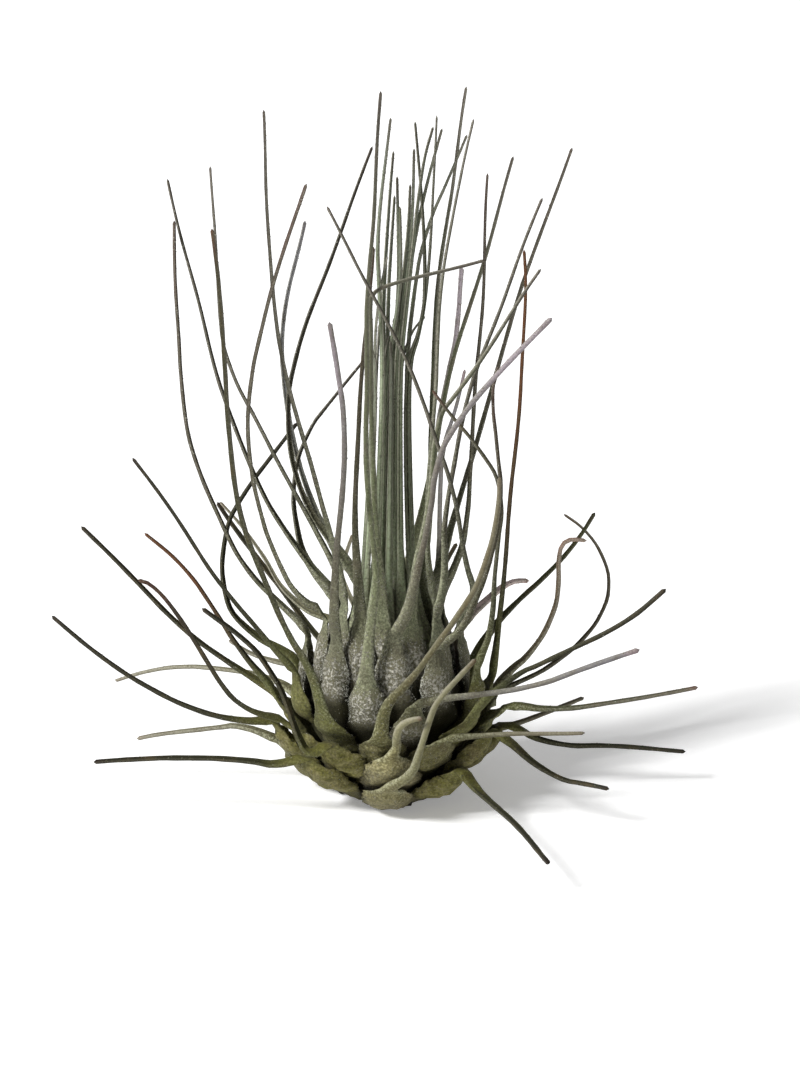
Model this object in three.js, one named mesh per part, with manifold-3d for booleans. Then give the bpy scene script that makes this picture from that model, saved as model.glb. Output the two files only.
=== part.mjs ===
// A thread-leaved air plant, bare-rooted and standing on the flattened underside of its bulb.
// Millimetres, Z up. The origin is the middle of the resting spot, with the viewer toward -Y.
import * as THREE from "three";
import { mergeVertices } from "three/addons/utils/BufferGeometryUtils.js";
import Module from "manifold-3d";

// The bulb: distance from its middle to its skin, at tilts measured up from straight below
const bulbMiddle = 15;
const tiltStep = 15;
const flatTilt = 30;
const bulbRadii = [17.32, 17.5, 18.2, 19, 18.7, 17.8, 17.3, 18.3, 20, 22.5, 25.5];

// The spiral of leaves, outermost first
const turnPerLeaf = 137.508;
const firstTurn = -11;
const layerStep = 0.2;
const bottomLeaves = 5;

// Tilts at which the leaves leave the bulb: [leaf, tilt], with the others in between
const neckTilts = [
  [0, 68], [8, 89], [16, 94], [21, 98], [26, 107], [29, 111], [34, 129], [39, 143], [45, 152],
  [57, 162],
];

// Leaves of the front that stand off the even spiral, as degrees of turn
const turnShifts = {
  0: 11, 3: -2, 8: -7, 13: -5, 16: -2, 18: -4, 23: -2, 29: -3, 34: 2, 39: 4, 45: -3,
};

// A sheath: the broad spoon at the foot of each leaf
const sheathThickness = 0.62;
const sheathHalfTurn = 22;
const sheathHalfWidth = 7.4;
const stemRadius = 3.4;
const seatGap = 0.35;
const peelLength = 8;
const bulgeHold = 5.5;
const hollowShare = 0.6;
const neckBlend = 2.6;
const leafSides = 6;
const firstRootTilt = 5;
const rootTiltStep = 0.5;
const leastRingTurn = 5;

// Distances below the neck at which a sheath takes a ring
const sheathSteps = [21, 17.5, 14, 10.8, 7.6, 4.4, 2.2, 0.6];

// What changes from the old leaves below (first) to the young ones above (second)
const oldLeaf = 12;
const youngLeaf = 36;
const shoulderWidths = [4.6, 3.3];
const shoulderLengths = [3.8, 5];
const spreadStarts = [3.8, 7.5];
const spreadEnds = [12.8, 16];
const neckWidths = [1.25, 1];
const neckLengths = [11, 16];
const bulgeRises = [3.6, 4.2];
const bulgeEnds = [12, 11];

// How far each leaf's neck stands off the bulb, and how far its belly swells: [leaf, millimetres]
const peels = [[0, 1.6], [9, 2], [20, 2.8], [30, 2.2], [38, 1.6], [57, 1]];
const bulges = [
  [0, 1.4], [3, 1.9], [8, 1.9], [14, 1.5], [16, 1.1], [22, 1.1], [24, 1.2], [33, 1.5], [35, 1.35],
  [39, 0.85], [46, 0.4],
];

// A blade: the long thread above the neck
const neckThickness = 0.75;
const bladeRadii = [0.64, 0.55];
const tipRadius = 0.36;
const neckEase = 7;
const neckTaper = 1.5;
const bladeStart = 0.9;
const bendReach = 4;
const bendShare = 0.33;
const bladeStep = 8.5;
const fewestSteps = 3;
const mostSteps = 11;

// The tuft: young upright leaves standing out of the packed heart
const heartNeck = [[7.2, 30], [4.2, 33.5], [2.6, 39], [0, 52]];
const heartTilts = [60, 75, 90, 105, 120, 135];
const heartFootTilt = 45;
const heartSides = 20;
const stemSides = 16;
const tuftPitch = 1.5;
const tuftParting = 76;
const tuftLean = 0.6;
const tuftBladeRadius = 0.62;
const tuftRings = [
  { first: 0, count: 1, foot: [0, 34], knee: [0, 42], footRadius: 1 },
  { first: 1, count: 6, foot: [3.6, 32], knee: [2.2, 40], footRadius: 1.4 },
  { first: 7, count: 12, foot: [6.4, 28.5], knee: [4.5, 35.5], footRadius: 1.7 },
];
const tuftFootLength = 13;
const tuftStep = 9;
const tuftSides = 5;

// The view that the leaf courses are given in: distance, height looked at, and downward angle
const viewDistance = 500;
const viewAcross = 2.1;
const viewUp = 46;
const viewAngle = 15;

// Courses of the blades from neck to tip, as seen from the front: millimetres right of the stem,
// millimetres up, and millimetres toward the viewer where the leaf is pinned in depth.
const bladeCourses = [
  [[4.3, 2.9, 22], [5.4, 6.4, 23], [7.5, 13.6], [8.8, 16.3], [12, 19.8], [15.5, 23.4, 25]],
  [[18.2, 10.9, -13], [24.5, 12.7], [29.8, 14.5], [34.6, 16.6, -26]],
  [[-26.4, 12], [-30.9, 11.3], [-40.7, 10.4], [-44.6, 9.6, -5]],
  [[14.4, 1.9, 17], [18.2, -1.9, 26], [23.6, -6.7, 36], [28.6, -12.7, 49]],
  [[0.8, 17, -30], [1.5, 22, -45], [3, 25, -58]],
  [[-20.2, 4.6], [-24.6, 5.5], [-35.4, 6.3], [-47.9, 5.5], [-52.3, 5.2, 10]],
  [[28.9, 8.4], [41.4, 8], [52.7, 7.3, -4]],
  [[-21.1, 20.7, -18], [-31.8, 22.1], [-36.3, 22.5], [-41.6, 22], [-48.4, 19.8, -38]],
  [[1.6, 7.4, 20.5], [1.4, 10.4, 22.5], [2.8, 12.4], [5.7, 13, 25]],
  [[18.2, 17.7, -17], [25.4, 20.2], [30.7, 23.8], [34.8, 27.3], [38.4, 31.8], [39.8, 36.8, -30],
    [38.4, 41.8], [35.2, 46.6], [31.6, 49.3, -35]],
  [[-25.5, 12.5, 7], [-34.5, 14.6], [-42.5, 18.2], [-49.6, 22.9], [-59.8, 31.1, 13]],
  [[28.9, 2.7], [37, 0.9], [39.1, 0.4, 20]],
  [[-12, 27, -30], [-17.5, 34.1], [-22.9, 40.7], [-28.6, 48.9], [-30.2, 51.4, -46]],
  [[-13.9, 6.1, 20], [-15.7, 9.1, 18.5], [-18.4, 17.1], [-21.1, 21.3], [-24.6, 26.4],
    [-32.7, 32.5, 16]],
  [[21.3, 21.3, -10], [25.4, 24.6], [29.5, 31.8], [30.5, 36.8], [30.4, 42.1], [31.6, 45],
    [35, 44.8, -16]],
  [[-22.9, 19.5, -8], [-30.9, 24.6], [-37.1, 29.6], [-44.3, 36.8], [-54.5, 47.1, -16]],
  [[20, 10.4], [28, 10.5], [34.6, 10.5, 25]],
  [[5, 27, -32], [9, 38, -42], [12, 44, -47]],
  [[-22.9, 13.9, 13], [-25.9, 15.4], [-28.6, 17.7], [-33, 24.3], [-38.6, 33.2], [-42.1, 37.1],
    [-44.1, 37.7, 20]],
  [[29.8, 14.6], [39.6, 15.7], [54.8, 18.6, 6]],
  [[-22.9, 23.9], [-28.2, 26.8, -28]],
  [[-0.5, 15.4, 21.5], [2.1, 18], [6.6, 23], [14.6, 34.1], [17.1, 40.2], [19.6, 49.3],
    [20, 55.5, 24]],
  [[17.7, 28.2, -15], [22.7, 33.6], [28.6, 38.9], [33.4, 44.3], [36.6, 49.3, -24]],
  [[-26.4, 25.2], [-30.9, 32.7], [-36.3, 40], [-43.2, 45.9, 1]],
  [[21.8, 20.7], [28.9, 23.4], [41.8, 30], [49.3, 35.9, 26]],
  [[-8.6, 38.6, -38], [-7.7, 41.6], [-6.4, 45.4, -44]],
  [[-13.9, 22, 17], [-18.4, 29.1], [-22.5, 38.2], [-26.1, 48], [-28.6, 62.7], [-29.1, 78.8],
    [-31.4, 99.8, 26]],
  [[19.8, 31.4], [21.4, 48.4], [23.4, 69.8], [24.6, 87.7], [24.1, 96.1, -5]],
  [[-26.4, 29.3], [-29.5, 35.5], [-29.3, 45.7], [-27.1, 51.6], [-18.8, 62.1], [-16.4, 65.4, -20]],
  [[9.3, 16.6, 20], [16.4, 17.3], [27.1, 19.1], [33, 21.3], [44.5, 25.2, 28]],
  [[8.9, 41.3, -16], [9.3, 52], [9.8, 61.8], [11.6, 67.1], [13.6, 75, -30]],
  [[-22, 27.5], [-29.1, 35.9], [-38.9, 50.5], [-45.2, 59.1, 16]],
  [[18.6, 29.6], [19.1, 41.3], [20.5, 53.8, 11], [16.4, 61.4], [10.7, 67.7], [8, 71.1, 14]],
  [[-17.5, 33.6], [-23.8, 44.8], [-29.8, 51.3, -38]],
  [[-3, 30.5, 14], [-2.1, 37.7], [-2.9, 44.8], [-4.1, 62.7, 9], [-3.9, 73.4], [-3.6, 91.3],
    [-2.3, 107.3], [-1.4, 124.6, 6]],
  [[18.2, 35], [21.8, 37.7], [24.8, 37.7, -16]],
  [[-19.3, 33.6, -5], [-24.6, 39.1], [-28.9, 45.7], [-34.6, 59.1], [-37, 72.5], [-37.5, 82.3],
    [-38.2, 101.4, -12]],
  [[13.2, 28.8, 13.5], [15.2, 33.2], [17.7, 39.5], [20.5, 52, 18], [19.6, 60.9], [18.2, 70.7],
    [19.5, 75.5, 20]],
  [[5.7, 41.3, -14], [7.5, 52], [8.6, 62.7], [10.7, 75.2], [12.3, 82.3], [13.2, 93, -22]],
  [[-9.8, 30.5, 11], [-9.5, 37.7], [-8.2, 52.9], [-7.7, 65.4], [-8.4, 72.5], [-10.5, 83.4, 18]],
  [[15.5, 35], [13.8, 40.9], [11.1, 55, 11.5], [8.8, 62.1, 13], [5.7, 71.1], [0.9, 81.4, 13.5],
    [-5, 93], [-10.9, 103.9, 15]],
  [[-14.6, 40.9, -11], [-16.3, 45.7], [-17.1, 54.6], [-14.6, 64.1], [-10.4, 69.8],
    [-4.6, 76.4, -18]],
  [[3, 30.5, 13], [4.8, 37.7], [7.5, 48.4], [8.4, 59.1], [12.9, 66.8], [18.8, 73.8],
    [28.8, 84.1, 24]],
  [[9.3, 39.5, -11], [12, 50.5], [16.3, 63.6], [21.8, 84.1], [27.9, 101.6], [32.7, 114.5, -24]],
  [[-15.7, 34.1, 3], [-20, 42.1], [-22.9, 49.3], [-24.8, 60], [-24.8, 72.5], [-22.5, 83.2],
    [-18.4, 97.1], [-14.8, 107.9, 10]],
  [[9.8, 35.9, 7], [10.2, 41.3], [9.9, 48], [11.6, 59.1], [14.6, 71.6, 10], [16.8, 78.4],
    [22, 91.6], [27.3, 105.5, 14]],
  [[-6.4, 39.1, -12], [-10, 43.4], [-15.2, 55.5], [-19.1, 73.4], [-18.6, 85.9], [-15, 101.4, -26]],
  [[-5.4, 35.9, 9], [-5.9, 48.4, 7], [-5.5, 64.5, 5.5], [-4.1, 80.5, 3.8], [-2.7, 96.6, 3.6]],
  [[12, 40.4, -4], [14.1, 46.6], [14.6, 60.9], [16.6, 84.1], [17.7, 109.8, -10]],
  [[-11.8, 37.7, -5], [-17.1, 44.8], [-23.6, 55], [-30, 72.5], [-35.4, 93], [-39.3, 108.8, -14]],
  [[5, 39.5, 8], [6.8, 48.4], [8.8, 66.3, 10], [12.3, 71.1, 13], [20, 82.3, 15], [27.1, 92.9, 20]],
  [[4, 42, -8.5], [7.5, 55.5], [10.2, 72.5], [15.4, 89.1], [19.6, 103.4], [22.3, 113, -14]],
  [[-9.5, 43.9, 5], [-12.5, 53.8], [-17.1, 69.8], [-20.4, 85], [-21.6, 105.5], [-22.3, 121.3, 4]],
  [[6.4, 44.8, 3], [8, 66.3], [8.9, 84.1], [10.7, 100.2], [15.2, 119.5, 2]],
  [[-15.7, 52.9], [-18.6, 67.1], [-15.9, 80], [-9.5, 97], [-3, 114.6, -14]],
  [[-1.8, 41.3, 7.5], [-2.5, 52, 6.6], [-3, 62.7, 6.2], [-3, 80.5, 6], [-3.4, 87.7, 5.8],
    [-2.7, 89.1], [0.4, 90.4, 6.4], [9.3, 92.7], [16.8, 94.8, 9]],
  [[7.4, 50], [8, 80.5], [9.8, 98.4], [12, 111.8], [13.9, 125.2, -6]],
  [[-15.2, 51.1], [-22, 63.2], [-28.9, 76.6], [-30.2, 87.7], [-31.6, 111.1, -4]],
];

// Upper courses of the tuft's leaves, above the height where they part, in the same form
const tuftCourses = [
  [[1.9, 87.7], [1.6, 109.3, 0]],
  [[4, 82], [6.3, 84.5, -2]],
  [[1, 84, -2]],
  [[0, 89], [0.5, 96.6], [1.1, 105.9, -1]],
  [[0, 81, 1.5]],
  [[2.3, 90], [2.1, 103.9, 2]],
  [[2.7, 92], [3.6, 100.2], [3.9, 107.9, 0]],
  [[5.6, 82, -0.3], [7.1, 92.1], [8.2, 111.8], [8.6, 120.2, -3]],
  [[4.4, 88, -2.5], [6.3, 99.3], [11.4, 110.9], [13.9, 116.8, -5]],
  [[3.6, 92, -3.5], [6.1, 105.5], [9.5, 117.9, -8]],
  [[2.7, 88], [4.3, 101.1], [4.6, 114.3, -5]],
  [[-0.9, 87.7], [0.2, 105.5], [0.9, 113.8, -4]],
  [[-1.6, 83, -2]],
  [[-2, 86], [-0.2, 95.2, 0.5]],
  [[-3.1, 79], [-3.4, 83.5, 1.6]],
  [[-1.6, 90, 1.2], [-2, 99, 0.8], [0.4, 119.8, 3]],
  [[0.4, 80, 3.2]],
  [[3.4, 88, 3.5], [6.1, 111.8], [7.9, 118.2, 6]],
  [[6.2, 84, 2], [6.6, 92], [6.2, 103], [4.8, 119.1, 4.5]],
];

const wasm = await Module();
wasm.setup();
const leafCount = bladeCourses.length;

function sine(degrees) {
  return Math.sin(THREE.MathUtils.degToRad(degrees));
}

function cosine(degrees) {
  return Math.cos(THREE.MathUtils.degToRad(degrees));
}

function bulbRadius(tilt) {
  if (tilt <= flatTilt) {
    return bulbMiddle / cosine(tilt);
  }
  const steps = (tilt - flatTilt) / tiltStep;
  const step = Math.min(Math.floor(steps), bulbRadii.length - 2);
  return THREE.MathUtils.lerp(bulbRadii[step], bulbRadii[step + 1], steps - step);
}

function bulbPoint(turn, tilt, depth) {
  const reach = bulbRadius(tilt) - depth;
  const out = reach * sine(tilt);
  const height = bulbMiddle - reach * cosine(tilt);
  return new THREE.Vector3(out * sine(turn), -out * cosine(turn), height);
}

// Reads a table of [place, value] rows between its rows
function between(table, place) {
  const next = table.findIndex(([at]) => at >= place);
  if (next <= 0) {
    return next === 0 ? table[0][1] : table.at(-1)[1];
  }
  const [low, high] = [table[next - 1], table[next]];
  return THREE.MathUtils.mapLinear(place, low[0], high[0], low[1], high[1]);
}

function withAge(leaf, [old, young]) {
  return THREE.MathUtils.lerp(old, young, THREE.MathUtils.smoothstep(leaf, oldLeaf, youngLeaf));
}

function leafTurn(leaf) {
  return firstTurn + turnPerLeaf * leaf + (turnShifts[leaf] ?? 0);
}

function neckTilt(leaf) {
  return between(neckTilts, leaf);
}

// How many leaves have already bent away from the bulb below a tilt, as a running number
function leavesBelow(tilt) {
  return between(neckTilts.map(([leaf, neck]) => [neck, leaf]), tilt);
}

// Depth of a leaf's outer face under the skin: every leaf lies under those that started before it
function layerDepth(leaf, tilt) {
  return layerStep * Math.max(0, leaf - leavesBelow(tilt));
}

// The lowest leaves share the resting plane, so the later of them are thicker underneath
function outerDepth(leaf, tilt) {
  return leaf < bottomLeaves && tilt <= flatTilt ? 0 : layerDepth(leaf, tilt);
}

// Where a sheath starts: the first tilt at which its inner face clears the stem
function rootTilt(leaf) {
  let tilt = firstRootTilt;
  while (sheathInside(leaf, tilt) < stemRadius + seatGap) {
    tilt += rootTiltStep;
  }
  return tilt;
}

function sheathInside(leaf, tilt) {
  return (bulbRadius(tilt) - layerDepth(leaf, tilt) - sheathThickness) * sine(tilt);
}

// Turns a point of the front view, with its depth toward the viewer, into a place in the plant
function fromView(across, up, toward) {
  const eyeBack = viewDistance * cosine(viewAngle) - viewUp * sine(viewAngle);
  const eyeHeight = viewDistance * sine(viewAngle) + viewUp * cosine(viewAngle);
  const level = eyeBack - toward;
  const rise = Math.atan((up - viewUp) / viewDistance);
  const drop = level * Math.tan(rise - THREE.MathUtils.degToRad(viewAngle));
  const depth = level * cosine(viewAngle) - drop * sine(viewAngle);
  return new THREE.Vector3(
    viewAcross + (across - viewAcross) * depth / viewDistance, -toward, eyeHeight + drop);
}

// Fills in the depths between pinned points by length along the course
function courseInSpace(course, start) {
  const pins = [start, ...course];
  const along = [0];
  for (let k = 1; k < pins.length; k += 1) {
    along.push(along[k - 1] + Math.hypot(pins[k][0] - pins[k - 1][0], pins[k][1] - pins[k - 1][1]));
  }
  return course.map((pin, index) => {
    const here = index + 1;
    let before = index;
    while (pins[before][2] === undefined) {
      before -= 1;
    }
    let after = here;
    while (pins[after][2] === undefined) {
      after += 1;
    }
    const share = (along[here] - along[before]) / (along[after] - along[before]);
    return fromView(pin[0], pin[1], THREE.MathUtils.lerp(pins[before][2], pins[after][2], share));
  });
}

// Cuts each bend between points with two points a little before and after it
function rounded(points) {
  const inner = points.slice(1, -1).flatMap((here, index) => (
    [points[index], points[index + 2]].map((other) => {
      const reach = Math.min(bendReach, bendShare * here.distanceTo(other));
      return here.clone().addScaledVector(other.clone().sub(here).normalize(), reach);
    })));
  return [points[0], ...inner, points.at(-1)];
}

// Joins rings of equal count into one closed body
function loft(rings, tip) {
  const sides = rings[0].length;
  const places = rings.flat();
  const faces = [];
  for (let ring = 0; ring + 1 < rings.length; ring += 1) {
    for (let side = 0; side < sides; side += 1) {
      const a = ring * sides + side;
      const b = ring * sides + (side + 1) % sides;
      faces.push(a, b, a + sides, b, b + sides, a + sides);
    }
  }
  for (let side = 1; side + 1 < sides; side += 1) {
    faces.push(0, side + 1, side);
  }
  const last = (rings.length - 1) * sides;
  places.push(tip);
  for (let side = 0; side < sides; side += 1) {
    faces.push(last + side, last + (side + 1) % sides, places.length - 1);
  }
  const geometry = new THREE.BufferGeometry();
  geometry.setAttribute("position", new THREE.Float32BufferAttribute(
    places.flatMap((place) => place.toArray()), 3));
  geometry.setIndex(faces);
  return geometry;
}

function belowNeck(leaf, tilt) {
  return bulbRadius(tilt) * THREE.MathUtils.degToRad(neckTilt(leaf) - tilt);
}

// Half the width of a sheath: wide below, drawn in round-shouldered to the neck
function halfWidth(leaf, below) {
  const shoulder = withAge(leaf, shoulderLengths);
  const full = withAge(leaf, shoulderWidths);
  const round = THREE.MathUtils.smoothstep(below, 0, shoulder);
  const width = THREE.MathUtils.lerp(withAge(leaf, neckWidths), full, round);
  const spread = THREE.MathUtils.smoothstep(
    below, withAge(leaf, spreadStarts), withAge(leaf, spreadEnds));
  return width + (sheathHalfWidth - full) * spread;
}

// How far a leaf has bent away from the bulb, most at its neck
function peel(leaf, below) {
  return between(peels, leaf) * Math.max(0, 1 - below / peelLength) ** 2;
}

// How far the belly of a sheath swells out
function bulge(leaf, below) {
  return between(bulges, leaf)
    * THREE.MathUtils.smoothstep(below, 0, withAge(leaf, bulgeRises))
    * (1 - THREE.MathUtils.smoothstep(below, bulgeHold, withAge(leaf, bulgeEnds)));
}

function sheathRing(leaf, tilt) {
  const turn = leafTurn(leaf);
  const below = belowNeck(leaf, tilt);
  const depth = layerDepth(leaf, tilt);
  const out = (bulbRadius(tilt) - depth) * sine(tilt);
  const reach = THREE.MathUtils.radToDeg(Math.atan(halfWidth(leaf, below) / out));
  const span = Math.min(sheathHalfTurn, reach);
  const toNeck = 1 - THREE.MathUtils.smoothstep(below, 0, neckBlend);
  const bent = peel(leaf, below);
  const flat = outerDepth(leaf, tilt);
  const proud = bulge(leaf, below);
  const outer = THREE.MathUtils.lerp(flat - proud, -neckThickness, toNeck);
  const inner = THREE.MathUtils.lerp(
    depth + sheathThickness - proud * hollowShare, neckThickness, toNeck);
  const edge = THREE.MathUtils.lerp((flat + depth + sheathThickness) / 2, 0, toNeck);
  return [
    bulbPoint(turn - span, tilt, edge - bent),
    bulbPoint(turn - span / 3, tilt, outer - bent),
    bulbPoint(turn + span / 3, tilt, outer - bent),
    bulbPoint(turn + span, tilt, edge - bent),
    bulbPoint(turn + span / 3, tilt, inner - bent),
    bulbPoint(turn - span / 3, tilt, inner - bent),
  ].map((place) => place.setZ(Math.max(0, place.z)));
}

function sheathTilts(leaf) {
  const root = rootTilt(leaf);
  const neck = neckTilt(leaf);
  const steps = sheathSteps.map((below) => (
    neck - THREE.MathUtils.radToDeg(below / bulbRadius(neck))));
  const tilts = [root];
  for (let tilt = flatTilt; tilt < steps[0] - leastRingTurn; tilt += tiltStep) {
    if (tilt > root + leastRingTurn) {
      tilts.push(tilt);
    }
  }
  return [...tilts, ...steps.filter((tilt) => tilt > root + leastRingTurn)];
}

// Rings of a blade along a curve, each turned on from the one before without twist
function bladeRings(curve, shares, sides, sideways, sizesAt) {
  const rings = [];
  let across = sideways.clone();
  for (const share of shares) {
    const place = curve.getPointAt(share);
    const along = curve.getTangentAt(share);
    across = across.addScaledVector(along, -across.dot(along)).normalize();
    const outward = new THREE.Vector3().crossVectors(across, along);
    const [width, thickness] = sizesAt(share * curve.getLength());
    const ring = [];
    for (let side = 0; side < sides; side += 1) {
      const angle = Math.PI - side / sides * 2 * Math.PI;
      ring.push(place.clone()
        .addScaledVector(across, width * Math.cos(angle))
        .addScaledVector(outward, thickness * Math.sin(angle)));
    }
    rings.push(ring);
  }
  return rings;
}

// Shares of a curve from a first one to its end
function evenShares(first, steps) {
  return Array.from({ length: steps + 1 }, (unused, step) => (
    THREE.MathUtils.lerp(first, 1, step / steps)));
}

function leafGeometry(leaf) {
  const turn = leafTurn(leaf);
  const neck = bulbPoint(turn, neckTilt(leaf), -peel(leaf, 0));
  const footTilt = neckTilt(leaf) - neckEase;
  const footPeel = peel(leaf, belowNeck(leaf, footTilt));
  const foot = bulbPoint(turn, footTilt, sheathThickness / 2 - footPeel);
  const course = courseInSpace(bladeCourses[leaf], [neck.x, neck.z, -neck.y]);
  const curve = new THREE.CatmullRomCurve3(rounded([foot, neck, ...course]), false, "centripetal");
  const length = curve.getLength();
  const first = foot.distanceTo(neck);
  const sizesAt = (along) => {
    const nearNeck = Math.max(0, 1 - (along - first) / withAge(leaf, neckLengths)) ** neckTaper;
    const body = THREE.MathUtils.lerp(withAge(leaf, bladeRadii), tipRadius, along / length);
    return [withAge(leaf, neckWidths), neckThickness].map((neckSize) => (
      THREE.MathUtils.lerp(body, neckSize, nearNeck)));
  };
  const steps = THREE.MathUtils.clamp(Math.round(length / bladeStep), fewestSteps, mostSteps);
  const sideways = new THREE.Vector3(cosine(turn), sine(turn), 0);
  const shares = evenShares((first + bladeStart) / length, steps);
  const blade = bladeRings(curve, shares, leafSides, sideways, sizesAt);
  const sheath = sheathTilts(leaf).map((tilt) => sheathRing(leaf, tilt));
  const end = curve.getPointAt(1).addScaledVector(curve.getTangentAt(1), tipRadius);
  return loft([...sheath, ...blade], end);
}

function solidFrom(geometry) {
  geometry.deleteAttribute("normal");
  geometry.deleteAttribute("uv");
  const merged = mergeVertices(geometry, 1e-4);
  return new wasm.Manifold(new wasm.Mesh({
    numProp: 3,
    vertProperties: merged.attributes.position.array,
    triVerts: merged.index.array,
  }));
}

function geometryFrom(solid) {
  const mesh = solid.getMesh();
  const geometry = new THREE.BufferGeometry();
  geometry.setAttribute("position", new THREE.Float32BufferAttribute(mesh.vertProperties, 3));
  geometry.setIndex(Array.from(mesh.triVerts));
  return geometry;
}

// The packed heart under the tuft, one layer inside the innermost leaf
function heartGeometry() {
  const profile = [new THREE.Vector2(0, heartFoot()), new THREE.Vector2(stemRadius, heartFoot())];
  for (const tilt of heartTilts) {
    const depth = layerDepth(leafCount, tilt) + sheathThickness + seatGap;
    const reach = bulbRadius(tilt) - depth;
    profile.push(new THREE.Vector2(reach * sine(tilt), bulbMiddle - reach * cosine(tilt)));
  }
  profile.push(...heartNeck.map(([out, height]) => new THREE.Vector2(out, height)));
  const geometry = new THREE.LatheGeometry(profile, heartSides);
  geometry.rotateX(Math.PI / 2);
  return geometry;
}

function heartFoot() {
  const last = leafCount - 1;
  const reach = bulbRadius(heartFootTilt) - layerDepth(last, heartFootTilt) - sheathThickness;
  return bulbMiddle - reach * cosine(heartFootTilt) + seatGap;
}

// One young leaf of the tuft: its wide foot hugs the heart, and its blade runs up beside the
// others to the height where they part
function tuftBlade(index) {
  const level = tuftRings.findLastIndex((ring) => index >= ring.first);
  const ring = tuftRings[level];
  const angle = (index - ring.first) / ring.count * 2 * Math.PI;
  const place = (out, height) => (
    new THREE.Vector3(out * Math.cos(angle), out * Math.sin(angle), height));
  const seat = place(level * tuftPitch, 0);
  const parting = [seat.x + tuftLean, tuftParting, -seat.y];
  const points = [
    place(...ring.foot),
    place(...ring.knee),
    fromView(...parting),
    ...courseInSpace(tuftCourses[index], parting),
  ];
  const curve = new THREE.CatmullRomCurve3(rounded(points), false, "centripetal");
  const length = curve.getLength();
  const sizesAt = (along) => {
    const nearFoot = Math.max(0, 1 - along / tuftFootLength);
    const body = THREE.MathUtils.lerp(tuftBladeRadius, tipRadius, along / length);
    const radius = THREE.MathUtils.lerp(body, ring.footRadius, nearFoot);
    return [radius, radius];
  };
  const shares = evenShares(0, Math.round(length / tuftStep));
  const rings = bladeRings(curve, shares, tuftSides, new THREE.Vector3(1, 0, 0), sizesAt);
  const end = curve.getPointAt(1).addScaledVector(curve.getTangentAt(1), tipRadius);
  return loft(rings, end);
}

function tuftGeometry() {
  const heart = solidFrom(heartGeometry());
  const blades = tuftCourses.map((course, index) => solidFrom(tuftBlade(index)));
  return geometryFrom(blades.reduce((joined, blade) => joined.add(blade), heart));
}

function stemGeometry() {
  const height = heartFoot() - seatGap;
  const geometry = new THREE.CylinderGeometry(stemRadius, stemRadius, height, stemSides);
  geometry.rotateX(Math.PI / 2);
  geometry.translate(0, 0, height / 2);
  return geometry;
}

const olive = new THREE.Color(0x6f7350);
const greyGreen = new THREE.Color(0x8b947c);

function addPiece(plant, name, geometry, colour, roughness) {
  const material = new THREE.MeshStandardMaterial({ color: colour, roughness, metalness: 0 });
  const mesh = new THREE.Mesh(geometry, material);
  mesh.name = name;
  plant.add(mesh);
}

const plant = new THREE.Group();
addPiece(plant, "stem", stemGeometry(), new THREE.Color(0x6b5a45), 0.8);
for (let leaf = 0; leaf < leafCount; leaf += 1) {
  const colour = olive.clone().lerp(greyGreen, leaf / leafCount);
  const name = "leaf_" + String(leaf + 1).padStart(2, "0");
  addPiece(plant, name, leafGeometry(leaf), colour, 0.75);
}
addPiece(plant, "tuft", tuftGeometry(), new THREE.Color(0x7c8a69), 0.75);

export default plant;
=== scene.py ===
import math

import bpy
import numpy as np
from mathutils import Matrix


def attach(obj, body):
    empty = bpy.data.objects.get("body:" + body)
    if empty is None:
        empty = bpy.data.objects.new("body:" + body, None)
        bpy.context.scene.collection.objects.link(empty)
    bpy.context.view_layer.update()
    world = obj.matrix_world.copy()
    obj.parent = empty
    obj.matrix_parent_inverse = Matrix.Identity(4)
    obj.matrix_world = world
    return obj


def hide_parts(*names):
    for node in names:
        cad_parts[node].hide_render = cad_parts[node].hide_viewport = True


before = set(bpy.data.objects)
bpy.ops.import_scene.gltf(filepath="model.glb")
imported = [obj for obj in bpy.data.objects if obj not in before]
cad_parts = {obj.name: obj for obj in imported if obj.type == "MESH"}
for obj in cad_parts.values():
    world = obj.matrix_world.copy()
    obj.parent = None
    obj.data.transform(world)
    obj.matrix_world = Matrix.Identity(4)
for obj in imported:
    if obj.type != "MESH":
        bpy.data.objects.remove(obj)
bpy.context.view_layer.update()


# The lowest sixteen leaves: broad khaki spoons that wrap the stem and make the underside and chin
# of the bulb, each narrowing at a round shoulder to one long channelled thread. Thin dry leaf,
# grown from the stem low down, with the later leaves lying under the earlier ones.
LOWER_SILVER = 0.3
LOWER_TIPS = {9: 0.26}

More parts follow.
